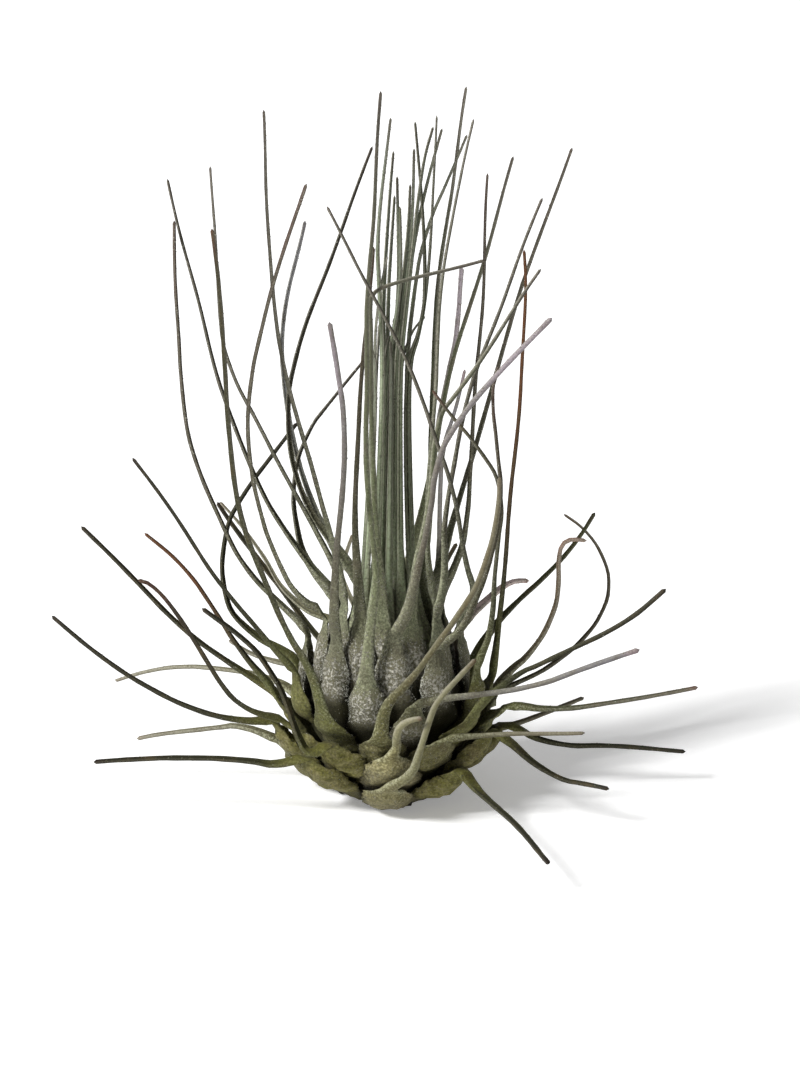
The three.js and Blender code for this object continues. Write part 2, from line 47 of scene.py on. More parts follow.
# Each course runs from neck to tip in the front view: millimetres right of the stem, millimetres
# up, and millimetres toward the viewer where the leaf is pinned in depth.
LOWER_COURSES = [
    [(4.3, 2.9, 22), (5.4, 6.4, 23), (7.5, 13.6), (8.8, 16.3), (12, 19.8), (15.5, 23.4, 25)],
    [(18.2, 10.9, -13), (24.5, 12.7), (29.8, 14.5), (34.6, 16.6, -26)],
    [(-26.4, 12), (-30.9, 11.3), (-40.7, 10.4), (-44.6, 9.6, -5)],
    [(14.4, 1.9, 17), (18.2, -1.9, 26), (23.6, -6.7, 36), (28.6, -12.7, 49)],
    [(0.8, 17, -30), (1.5, 22, -45), (3, 25, -58)],
    [(-20.2, 4.6), (-24.6, 5.5), (-35.4, 6.3), (-47.9, 5.5), (-52.3, 5.2, 10)],
    [(28.9, 8.4), (41.4, 8), (52.7, 7.3, -4)],
    [(-21.1, 20.7, -18), (-31.8, 22.1), (-36.3, 22.5), (-41.6, 22), (-48.4, 19.8, -38)],
    [(1.6, 7.4, 20.5), (1.4, 10.4, 22.5), (2.8, 12.4), (5.7, 13, 25)],
    [(18.2, 17.7, -17), (25.4, 20.2), (30.7, 23.8), (34.8, 27.3), (38.4, 31.8), (39.8, 36.8, -30),
     (38.4, 41.8), (35.2, 46.6), (31.6, 49.3, -35)],
    [(-25.5, 12.5, 7), (-34.5, 14.6), (-42.5, 18.2), (-49.6, 22.9), (-59.8, 31.1, 13)],
    [(28.9, 2.7), (37, 0.9), (39.1, 0.4, 20)],
    [(-12, 27, -30), (-17.5, 34.1), (-22.9, 40.7), (-28.6, 48.9), (-30.2, 51.4, -46)],
    [(-13.9, 6.1, 20), (-15.7, 9.1, 18.5), (-18.4, 17.1), (-21.1, 21.3), (-24.6, 26.4),
     (-32.7, 32.5, 16)],
    [(21.3, 21.3, -10), (25.4, 24.6), (29.5, 31.8), (30.5, 36.8), (30.4, 42.1), (31.6, 45),
     (35, 44.8, -16)],
    [(-22.9, 19.5, -8), (-30.9, 24.6), (-37.1, 29.6), (-44.3, 36.8), (-54.5, 47.1, -16)],
]

# The bulb that the sheaths are laid on: a flat bottom, then its radius at every fifteen degrees of
# tilt from the rim of that flat (30) to straight up (180)
BULB_MIDDLE = 15
FLAT_TILT = 30
TILT_STEP = 15
BULB_RADII = [17.32, 17.5, 18.2, 19, 18.7, 17.8, 17.3, 18.3, 20, 22.5, 25.5]


def smooth_share(value, low, high):
    share = np.clip((value - low) / (high - low), 0, 1)
    return share * share * (3 - 2 * share)


def bulb_radius(tilt):
    if tilt <= FLAT_TILT:
        return BULB_MIDDLE / math.cos(math.radians(tilt))
    return float(np.interp((tilt - FLAT_TILT) / TILT_STEP, range(len(BULB_RADII)), BULB_RADII))


def bulb_point(turn, tilt, depth):
    reach_out = bulb_radius(tilt) - depth
    lean = math.radians(tilt)
    round_bulb = np.radians(turn)
    out = reach_out * math.sin(lean)
    height = BULB_MIDDLE - reach_out * math.cos(lean)
    return np.stack([out * np.sin(round_bulb), -out * np.cos(round_bulb), height + 0 * out], -1)


# The spiral: each leaf stands a golden angle on from the one before it, save for a few in front
# that stand some degrees off. Old leaves part from the bulb low down and young ones near its top,
# and each lies a layer deeper than the one before.
TURN_PER_LEAF = 137.508
FIRST_TURN = -11
TURN_SHIFTS = {0: 11, 3: -2, 8: -7, 13: -5, 16: -2, 18: -4, 23: -2, 29: -3, 34: 2, 39: 4, 45: -3}
NECK_TILTS = [(0, 68), (8, 89), (16, 94), (21, 98), (26, 107), (29, 111), (34, 129), (39, 143),
              (45, 152), (57, 162)]
LAYER_STEP = 0.2
SHEATH_THICKNESS = 0.62
STEM_RADIUS = 3.4
SEAT_GAP = 0.35
LOWEST_ROOT = 5
ROOT_STEP = 0.5


def leaf_turn(leaf):
    return FIRST_TURN + TURN_PER_LEAF * leaf + TURN_SHIFTS.get(leaf, 0)


def neck_tilt(leaf):
    return float(np.interp(leaf, *zip(*NECK_TILTS)))


def layer_depth(leaf, tilt):
    leaves, tilts = zip(*NECK_TILTS)
    return LAYER_STEP * max(0, leaf - float(np.interp(tilt, tilts, leaves)))


def root_tilt(leaf):
    tilt = LOWEST_ROOT
    while True:
        inside = bulb_radius(tilt) - layer_depth(leaf, tilt) - SHEATH_THICKNESS
        if inside * math.sin(math.radians(tilt)) >= STEM_RADIUS + SEAT_GAP:
            return tilt
        tilt += ROOT_STEP


# Sizes of the sheaths that change from the old leaves below (first) to the young ones above
# (second), in millimetres down from the neck or across the leaf
OLD_LEAF = 12
YOUNG_LEAF = 36
NECK_WIDTHS = (1.25, 1.15)
SHOULDER_WIDTHS = (4.6, 3.3)
SHOULDER_LENGTHS = (3.8, 5)
SPREAD_STARTS = (3.8, 7.5)
SPREAD_ENDS = (12.8, 16)
BELLY_RISES = (3.6, 4.2)
BELLY_ENDS = (12, 11)
DENTS = (0.3, 0.08)

# How far each neck stands off the bulb and how far each belly swells, from leaf to leaf
PEELS = [(0, 1.6), (9, 2), (20, 2.8), (30, 2.2), (38, 1.6), (57, 1)]
BULGES = [(0, 1.6), (3, 2.2), (8, 2.2), (14, 1.7), (16, 1.4), (24, 1.4), (33, 1.7), (39, 1.3), (57, 0.9)]
SLIM_NECKS = {8: 0.8}

# Sizes that every sheath shares, and the angles of the points round a ring of leaf
SHEATH_HALF_WIDTH = 7.4
SHEATH_HALF_TURN = 22
NECK_THICKNESS = 0.75
NECK_ROUNDING = 2.6
PEEL_LENGTH = 8
BELLY_HOLD = 5.5
BELLY_INSIDE = 0.6
SHEATH_ROUNDNESS = 0.7
BOTTOM_LEAVES = 5
DENTS_ACROSS = (4.3, 2.1)
DENTS_ALONG = (0.9, 1.35)
DENTS_START = (1, 4)
LEAF_SIDES = 20
SIDE_ANGLES = math.pi - np.arange(LEAF_SIDES) / LEAF_SIDES * 2 * math.pi
NEAR_MARGIN = np.abs(np.cos(np.arange(LEAF_SIDES) / LEAF_SIDES * 2 * math.pi))


def with_age(leaf, old_and_young):
    old, young = old_and_young
    return old + (young - old) * smooth_share(leaf, OLD_LEAF, YOUNG_LEAF)


def below_neck(leaf, tilt):
    return bulb_radius(tilt) * math.radians(neck_tilt(leaf) - tilt)


def neck_half_width(leaf):
    return SLIM_NECKS.get(leaf, with_age(leaf, NECK_WIDTHS))


def half_width(leaf, below):
    neck = neck_half_width(leaf)
    full = with_age(leaf, SHOULDER_WIDTHS)
    width = neck + (full - neck) * smooth_share(below, 0, with_age(leaf, SHOULDER_LENGTHS))
    spread = smooth_share(below, with_age(leaf, SPREAD_STARTS), with_age(leaf, SPREAD_ENDS))
    return width + (SHEATH_HALF_WIDTH - full) * spread


# How far a leaf has bent away from the bulb, most at its neck
def peel(leaf, below):
    most = np.interp(leaf, *zip(*PEELS))
    return most * np.clip(1 - below / PEEL_LENGTH, 0, 1) ** 2


# One ring of a sheath: across it from edge to edge over the outside, and back along the inside
def sheath_ring(leaf, tilt):
    below = below_neck(leaf, tilt)
    width = half_width(leaf, below)
    depth = layer_depth(leaf, tilt)
    out = (bulb_radius(tilt) - depth) * math.sin(math.radians(tilt))
    span = min(SHEATH_HALF_TURN, math.degrees(math.atan(width / out)))
    across = np.cos(SIDE_ANGLES)
    proud = np.interp(leaf, *zip(*BULGES)) * smooth_share(below, 0, with_age(leaf, BELLY_RISES))
    proud *= 1 - smooth_share(below, BELLY_HOLD, with_age(leaf, BELLY_ENDS))
    outer = 0 if leaf < BOTTOM_LEAVES and tilt <= FLAT_TILT else depth
    dents = np.sin(across * DENTS_ACROSS[0] + below * DENTS_ALONG[0] + leaf)
    dents = dents * np.sin(below * DENTS_ALONG[1] - across * DENTS_ACROSS[1])
    dents = with_age(leaf, DENTS) * dents * smooth_share(below, *DENTS_START)
    outer = outer - (proud + dents) * (1 - across ** 2)
    inner = depth + SHEATH_THICKNESS - BELLY_INSIDE * proud * (1 - across ** 2)
    to_neck = 1 - smooth_share(below, 0, NECK_ROUNDING)
    outer = outer + (-NECK_THICKNESS - outer) * to_neck
    inner = inner + (NECK_THICKNESS - inner) * to_neck
    roundness = SHEATH_ROUNDNESS + (1 - SHEATH_ROUNDNESS) * to_neck
    side = np.sign(np.sin(SIDE_ANGLES)) * np.abs(np.sin(SIDE_ANGLES)) ** roundness
    middle = (outer + inner) / 2 - peel(leaf, below)
    ring = bulb_point(leaf_turn(leaf) + span * across, tilt, middle - side * (inner - outer) / 2)
    ring[:, 2] = np.maximum(ring[:, 2], 0)
    return ring


# The front view that the courses are read in: its eye is half a metre away and tipped down
VIEW_DISTANCE = 500
VIEW_ACROSS = 2.1
VIEW_UP = 46
VIEW_ANGLE = math.radians(15)
EYE_BACK = VIEW_DISTANCE * math.cos(VIEW_ANGLE) - VIEW_UP * math.sin(VIEW_ANGLE)
EYE_HEIGHT = VIEW_DISTANCE * math.sin(VIEW_ANGLE) + VIEW_UP * math.cos(VIEW_ANGLE)


def from_view(across, up, toward):
    level = EYE_BACK - toward
    drop = level * math.tan(math.atan((up - VIEW_UP) / VIEW_DISTANCE) - VIEW_ANGLE)
    depth = level * math.cos(VIEW_ANGLE) - drop * math.sin(VIEW_ANGLE)
    place_across = VIEW_ACROSS + (across - VIEW_ACROSS) * depth / VIEW_DISTANCE
    return (place_across, -toward, EYE_HEIGHT + drop)


# Points of a course as places in the plant, with the depths between pins spread by length
def course_in_space(course, start):
    pins = [start, *course]
    steps = [math.dist(a[:2], b[:2]) for a, b in zip(pins, pins[1:])]
    along = np.concatenate([[0], np.cumsum(steps)])
    pinned = [k for k, pin in enumerate(pins) if len(pin) == 3]
    depths = np.interp(along, along[pinned], [pins[k][2] for k in pinned])
    return [from_view(pin[0], pin[1], depth) for pin, depth in zip(pins[1:], depths[1:])]


# How a thread bends: each bend is cut this far before and after its point, and the smooth curve
# through all points gets a ring of leaf every so often
BEND_REACH = 4
BEND_SHARE = 0.33
CURVE_STEPS = 24
RING_SPACING = 1.25
FEWEST_RINGS = 12


def rounded(points):
    points = np.array(points, float)
    cut = [points[0]]
    for before, here, after in zip(points, points[1:], points[2:]):
        for other in (before, after):
            length = math.dist(here, other)
            cut.append(here + (other - here) / length * min(BEND_REACH, BEND_SHARE * length))
    return np.array([*cut, points[-1]])


# The curve as evenly spaced places, with the direction and the length run at each
def smooth_curve(points):
    points = rounded(points)
    ends = [2 * points[0] - points[1], *points, 2 * points[-1] - points[-2]]
    share = np.linspace(0, 1, CURVE_STEPS, endpoint=False)[:, None]
    pieces = []
    for a, b, c, d in zip(ends, ends[1:], ends[2:], ends[3:]):
        gaps = [max(math.dist(p, q), 1e-4) ** 0.5 for p, q in ((a, b), (b, c), (c, d))]
        leave = (b - a) / gaps[0] - (c - a) / (gaps[0] + gaps[1]) + (c - b) / gaps[1]
        enter = (c - b) / gaps[1] - (d - b) / (gaps[1] + gaps[2]) + (d - c) / gaps[2]
        leave = leave * gaps[1]
        enter = enter * gaps[1]
        bend = -3 * b + 3 * c - 2 * leave - enter
        twist = 2 * b - 2 * c + leave + enter
        pieces.append(b + leave * share + bend * share ** 2 + twist * share ** 3)
    dense = np.concatenate([*pieces, points[-1:]])
    run = np.concatenate([[0], np.cumsum(np.linalg.norm(np.diff(dense, axis=0), axis=1))])
    along = np.linspace(0, run[-1], max(FEWEST_RINGS, round(run[-1] / RING_SPACING)))
    places = np.stack([np.interp(along, run, dense[:, axis]) for axis in range(3)], -1)
    directions = np.gradient(places, axis=0)
    directions /= np.linalg.norm(directions, axis=1)[:, None]
    return places, directions, along


# Rings of a thread: round on the outside of the leaf, hollowed to a channel on its inside
def thread_rings(places, directions, sideways, widths, radii, channel):
    hollow = 1 - channel[:, None] * (1 - np.cos(SIDE_ANGLES) ** 2)
    hollow = np.where(np.sin(SIDE_ANGLES) < 0, hollow, 1)
    across = np.array(sideways, float)
    rings = []
    for place, direction, width, radius, dip in zip(places, directions, widths, radii, hollow):
        across = across - direction * across.dot(direction)
        across /= np.linalg.norm(across)
        outward = np.cross(across, direction)
        rings.append(place + width * np.cos(SIDE_ANGLES)[:, None] * across
                     + radius * (np.sin(SIDE_ANGLES) * dip)[:, None] * outward)
    return rings


# The scales: silver kites a quarter of a millimetre long that lie along the leaf with their tips
# lifted, crowded toward its two margins. The rest is how narrow the pale rim and the painted crevice
# shade are, how far the tip closes to a point, on which sides the painted shade of a tuft leaf's
# grooves runs, and how much darker one leaf may be than another.
MM_PER_METRE = 1000
SCALE_LENGTH = 0.26
SCALE_MIDDLE = 0.12
SCALE_HALF_WIDTH = 0.05
SCALE_SUNK_FOOT = 0.02
SCALE_MIDDLE_LIFT = 0.4
SCALE_SIZES = (0.7, 1.3)
SCALE_LIFTS = (0.04, 0.14)
SCALE_SPLAY = 0.35
SCALES_OFF_MARGIN = 0.35
RIM_NARROWNESS = 3
CREVICE_NARROWNESS = 2.5
TIP_POINT = 0.4
GROOVE_SHADE_SIDES = (3, 7, 13, 17)
DARKEST_LEAF = 0.22


# The body of a leaf with its scales, and what its skin is told at each point: the place from root
# (-1) over the neck (0) to the tip (1), how silver it is, how near a bare margin, and how dark, as
# painted shade plus the leaf's own darker tone
def leaf_mesh(name, rings, place_on_leaf, silver, scales, painted_shades, seed, frosted_rim, groove_shade=0):
    rings = np.array(rings)
    count, sides = rings.shape[:2]
    chance = np.random.default_rng(seed)
    body = rings.reshape(-1, 3)
    end = rings[-1].mean(0) + (rings[-1].mean(0) - rings[-2].mean(0)) * TIP_POINT
    ring, side = np.meshgrid(np.arange(count - 1), np.arange(sides), indexing="ij")
    a = (ring * sides + side).ravel()
    b = (ring * sides + (side + 1) % sides).ravel()
    faces = np.stack([a, b, b + sides, a + sides], -1).tolist()
    last = (count - 1) * sides
    faces += [[last + k, last + (k + 1) % sides, len(body)] for k in range(sides)]
    faces.append(list(range(sides))[::-1])
    body_faces = len(faces)

    length = np.linalg.norm(np.diff(rings.mean(1), axis=0), axis=1)
    girth = np.linalg.norm(np.roll(rings, -1, 1) - rings, axis=2).sum(1)
    scales_on_ring = length * girth[:-1] * scales[:-1]
    number = int(scales_on_ring.sum())
    on_ring = chance.choice(count - 1, number, p=scales_on_ring / scales_on_ring.sum())
    rim = NEAR_MARGIN ** RIM_NARROWNESS
    crowd = SCALES_OFF_MARGIN + rim
    on_side = chance.choice(sides, number, p=crowd / crowd.sum())
    next_side = (on_side + 1) % sides
    aside = chance.random((number, 1))
    ahead = chance.random((number, 1))
    near, far = rings[on_ring], rings[on_ring + 1]
    row = np.arange(number)
    low = near[row, on_side] * (1 - aside) + near[row, next_side] * aside
    high = far[row, on_side] * (1 - aside) + far[row, next_side] * aside
    foot = low * (1 - ahead) + high * ahead
    up = high - low
    up /= np.linalg.norm(up, axis=1)[:, None] + 1e-9
    across = near[row, next_side] - near[row, on_side]
    across /= np.linalg.norm(across, axis=1)[:, None] + 1e-9
    out = np.cross(across, up)
    size = chance.uniform(*SCALE_SIZES, (number, 1))
    up = up + across * chance.normal(0, SCALE_SPLAY, (number, 1))
    lift = chance.uniform(*SCALE_LIFTS, (number, 1))
    middle_lift = out * lift * SCALE_MIDDLE_LIFT
    kite = [
        foot - out * SCALE_SUNK_FOOT,
        foot + (up * SCALE_MIDDLE - across * SCALE_HALF_WIDTH) * size + middle_lift,
        foot + up * SCALE_LENGTH * size + out * lift,
        foot + (up * SCALE_MIDDLE + across * SCALE_HALF_WIDTH) * size + middle_lift,
    ]
    points = np.concatenate([body, end[None], np.stack(kite, 1).reshape(-1, 3)])
    first = len(body) + 1 + 4 * row
    faces += np.stack([first, first + 1, first + 2, first + 3], -1).tolist()

    mesh = bpy.data.meshes.new(name)
    mesh.from_pydata((points / MM_PER_METRE).tolist(), [], faces)
    bare_rim = np.tile(rim, count) * np.repeat(painted_shades[:, 1] <= 0, sides)
    # Painted shade along the sides where a tuft leaf's grooves run
    groove_shaded = np.reshape(groove_shade, (-1, 1)) * np.isin(np.arange(sides), GROOVE_SHADE_SIDES)
    # Painted shade all over where the leaf lies under others, and in the crevices at its margins
    crevice = painted_shades[:, 1, None] * NEAR_MARGIN ** CREVICE_NARROWNESS
    shade = painted_shades[:, 0, None] + crevice + groove_shaded
    own_shade = chance.uniform(0, DARKEST_LEAF)
    skin_facts = {
        "place_on_leaf": (np.repeat(place_on_leaf, sides), place_on_leaf[-1], place_on_leaf[on_ring]),
        "silver": (np.repeat(silver, sides), silver[-1], silver[on_ring] + frosted_rim * rim[on_side]),
        "edge": (bare_rim, 0, 0 * row),
        "dark": (shade.ravel() + own_shade, own_shade, painted_shades[on_ring, 0] + own_shade),
    }
    for title, (on_body, at_end, on_scales) in skin_facts.items():
        values = np.concatenate([on_body, [at_end], np.repeat(on_scales, 4)])
        told = mesh.attributes.new(title, "FLOAT", "POINT")
        told.data.foreach_set("value", values.astype(np.float32))
    material_of = np.zeros(len(faces), np.int32)
    material_of[body_faces:] = 1
    mesh.polygons.foreach_set("material_index", material_of)
    mesh.polygons.foreach_set("use_smooth", np.ones(len(faces), bool))
    mesh.update()
    return mesh


# How the sheath is drawn: degrees between its rings, close near the neck and wide lower down, and
# how far its surface crumbles and its margins fray in old and young leaves
CLOSE_RINGS = 1.7
WIDE_RINGS = 5
CLOSE_REACH = 32
LAST_RINGS = 2.4
NECK_RING = 0.4
CRUMBLE = (0.07, 0.035)
FRAYED_MARGIN = (0.16, 0.02)
FRAY_NARROWNESS = 8

# How the thread is drawn: it starts inside the sheath, thins from the neck to the blade and on to
# the tip, waves and swells a little, and is channelled most at its foot
NECK_EASE = 7
THREAD_START = 0.9
NECK_LENGTHS = (11, 19)
NECK_TAPER = 1.5
BLADE_RADII = (0.66, 0.56)
TIP_RADII = (0.44, 0.27)
WAVE_HEIGHT = 0.12
WAVE_LENGTH = 4.5
WAVE_START = 12
SWELL_HEIGHT = 0.06
SWELL_RATES = (1.1, 0.37)
CHANNEL_DEPTH = 1.25
CHANNEL_START = 6
CHANNEL_AT_TIP = 0.5

# Where the leaf is silver and how many scales it has to the square millimetre: the belly most, the
# foot of the thread less, and next to none where other leaves cover it
SHEATH_LENGTH = 24
BARE_SILVER = 0.22
SILVER_FROM = (1.5, 5)
SILVER_TO = (8, 11.5)
SILVER_PAST_NECK = 0.35
SILVER_FADE = 9
SCALES_ON_GREEN = 1
SCALES_ON_FROSTED = 3
SCALES_ON_SILVER = 7
SCALES_FROM_SILVER = 0.2
SCALES_COVERED = 0.02
COVERED_BELOW = 17

# Painted shade on the sheath where it goes under its neighbours: all over low down, where old sheath
# also browns, and in the crevices at its margins
SUNK_SHADES = (0.62, 0.78)
SUNK_FROM = (7.5, 12)
CREVICE_SHADES = (0.5, 0.85)
CREVICE_FROM = (2, 7)

CRUMB_SEED = 300
WAVE_SEED = 500
SCALE_SEED = 900


def grow_leaf(leaf, course, silver_sheath, own_tips, frosted_rim=0):
    turn = leaf_turn(leaf)
    neck = neck_tilt(leaf)
    tilts = [root_tilt(leaf)]
    while tilts[-1] < neck - LAST_RINGS:
        tilts.append(tilts[-1] + (CLOSE_RINGS if neck - tilts[-1] < CLOSE_REACH else WIDE_RINGS))
    tilts = np.clip(tilts, None, neck - NECK_RING)
    rings = [sheath_ring(leaf, tilt) for tilt in tilts]
    crumbs = np.random.default_rng(CRUMB_SEED + leaf)
    margin = NEAR_MARGIN[:, None] ** FRAY_NARROWNESS
    fray = with_age(leaf, CRUMBLE) + with_age(leaf, FRAYED_MARGIN) * margin
    for ring in rings[:-2]:
        ring += crumbs.normal(0, 1, ring.shape) * fray
        ring[:, 2] = np.maximum(ring[:, 2], 0)
    belows = np.array([below_neck(leaf, tilt) for tilt in tilts])

    start = bulb_point(turn, neck, -peel(leaf, 0))
    foot_below = below_neck(leaf, neck - NECK_EASE)
    foot = bulb_point(turn, neck - NECK_EASE, SHEATH_THICKNESS / 2 - peel(leaf, foot_below))
    course = course_in_space(course, (start[0], start[2], -start[1]))
    places, directions, along = smooth_curve([foot, start, *course])
    keep = along > math.dist(foot, start) + THREAD_START
    places, directions, along = places[keep], directions[keep], along[keep]
    run = along - along[0]
    share = run / run[-1]
    waves = np.random.default_rng(WAVE_SEED + leaf).uniform(0, 2 * math.pi, 3)
    calm = np.minimum(1, run / WAVE_START)[:, None]
    places = places + WAVE_HEIGHT * calm * np.sin(along[:, None] / WAVE_LENGTH + waves)
    tip = own_tips.get(leaf, with_age(leaf, TIP_RADII))
    body = with_age(leaf, BLADE_RADII) * (1 - share) + tip * share
    body = body * (1 + SWELL_HEIGHT * np.sin(along * SWELL_RATES[0] + waves[0])
                   * np.sin(along * SWELL_RATES[1] + waves[1]))
    near_neck = np.maximum(0, 1 - run / with_age(leaf, NECK_LENGTHS)) ** NECK_TAPER
    widths = body + (neck_half_width(leaf) - body) * near_neck
    radii = body + (NECK_THICKNESS - body) * near_neck
    channel = CHANNEL_DEPTH * smooth_share(run, 0, CHANNEL_START) * (1 - CHANNEL_AT_TIP * share)
    sideways = (math.cos(math.radians(turn)), math.sin(math.radians(turn)), 0)
    rings += thread_rings(places, directions, sideways, widths, radii, channel)

    place_on_leaf = np.concatenate([-np.minimum(1, belows / SHEATH_LENGTH), share])
    belly = smooth_share(belows, *SILVER_FROM) * (1 - smooth_share(belows, *SILVER_TO))
    added_silver = silver_sheath - BARE_SILVER
    silver = np.concatenate([
        BARE_SILVER + added_silver * belly,
        BARE_SILVER + added_silver * SILVER_PAST_NECK * np.exp(-run / SILVER_FADE),
    ])
    scales = SCALES_ON_FROSTED if frosted_rim else SCALES_ON_GREEN
    scales = scales + SCALES_ON_SILVER * np.maximum(0, silver - SCALES_FROM_SILVER)
    covered = np.concatenate([belows, 0 * share]) > COVERED_BELOW
    scales = np.where(covered, SCALES_COVERED, scales)
    # Painted shade: darker low on the sheath under its neighbours, and in the crevices at its margins
    sunk = with_age(leaf, SUNK_SHADES) * smooth_share(belows, *SUNK_FROM)
    crevice = with_age(leaf, CREVICE_SHADES) * smooth_share(belows, *CREVICE_FROM)
    painted_shades = np.concatenate([np.stack([sunk, crevice], -1), np.zeros((len(share), 2))])
    mesh = leaf_mesh(f"leaf {leaf + 1}", rings, place_on_leaf, silver, scales, painted_shades,
                     SCALE_SEED + leaf, frosted_rim)
    piece = bpy.data.objects.new(f"grown_leaf_{leaf + 1:02d}", mesh)
    bpy.context.scene.collection.objects.link(piece)
    return piece


# A colour as read off a screen, red, green and blue from 0 to 255
def from_screen(red, green, blue):
    values = [c / 255 for c in (red, green, blue)]
    return (*[v / 12.92 if v <= 0.04045 else ((v + 0.055) / 1.055) ** 2.4 for v in values], 1)


def new_skin(name):
    material = bpy.data.materials.new(name)
    material.use_nodes = True
    return material, material.node_tree, material.node_tree.nodes["Principled BSDF"]


# Each input of a node is given a plain value or the output of another node
def fit(tree, socket, value):
    if isinstance(value, bpy.types.NodeSocket):
        tree.links.new(value, socket)
    else:
        socket.default_value = value


def fit_all(tree, made, **inputs):
    for title, value in inputs.items():
        fit(tree, made.inputs[title.replace("_", " ")], value)
    return made


def node(tree, kind, **inputs):
    return fit_all(tree, tree.nodes.new("ShaderNode" + kind), **inputs)


def speckle(tree, **inputs):
    place = node(tree, "TexCoord").outputs["Object"]
    return node(tree, "TexNoise", Vector=place, **inputs).outputs["Fac"]


def skin_fact(tree, title):
    made = node(tree, "Attribute")
    made.attribute_name = title
    return made.outputs["Fac"]


def reach(tree, value, low, high, out_low, out_high):
    return node(tree, "MapRange", Value=value, From_Min=low, From_Max=high, To_Min=out_low,
                To_Max=out_high).outputs["Result"]


def times(tree, value, *factors):
    for factor in factors:
        made = node(tree, "Math")
        made.operation = "MULTIPLY"
        made.use_clamp = True
        fit(tree, made.inputs[0], value)
        fit(tree, made.inputs[1], factor)
        value = made.outputs[0]
    return value


def times_and_add(tree, value, factor, added):
    made = node(tree, "Math")
    made.operation = "MULTIPLY_ADD"
    for socket, part in zip(made.inputs, (value, factor, added)):
        fit(tree, socket, part)
    return made.outputs[0]


def blend(tree, share, below, above):
    made = node(tree, "Mix")
    made.data_type = "RGBA"
    fit(tree, made.inputs[0], share)
    for socket, colour in ((made.inputs[6], below), (made.inputs[7], above)):
        fit(tree, socket, from_screen(*colour) if isinstance(colour, tuple) else colour)
    return made.outputs[2]


def colour_run(tree, value, stops):
    ramp = node(tree, "ValToRGB", Fac=value)
    elements = ramp.color_ramp.elements
    elements.remove(elements[1])
    for k, (position, colour) in enumerate(stops):
        element = elements[0] if k == 0 else elements.new(position)
        element.position = position
        element.color = from_screen(*colour)
    return ramp.outputs["Color"]


BROWN_BLOTCH = (86, 72, 44)
SHEATH_DUST = (170, 160, 122)
SHEATH_HOLLOW_DARK = (56, 52, 22)
GRAIN_SHADE = (38, 38, 16)
GRAIN_FLECK = (158, 158, 128)
SCURF_GREY = (130, 126, 102)
SILVER_CRUST = (222, 218, 204)
THREAD_EDGE = (156, 149, 142)
NECK_EDGE = (186, 188, 160)
SHADE_AND_DARK_TONE = (36, 34, 14)


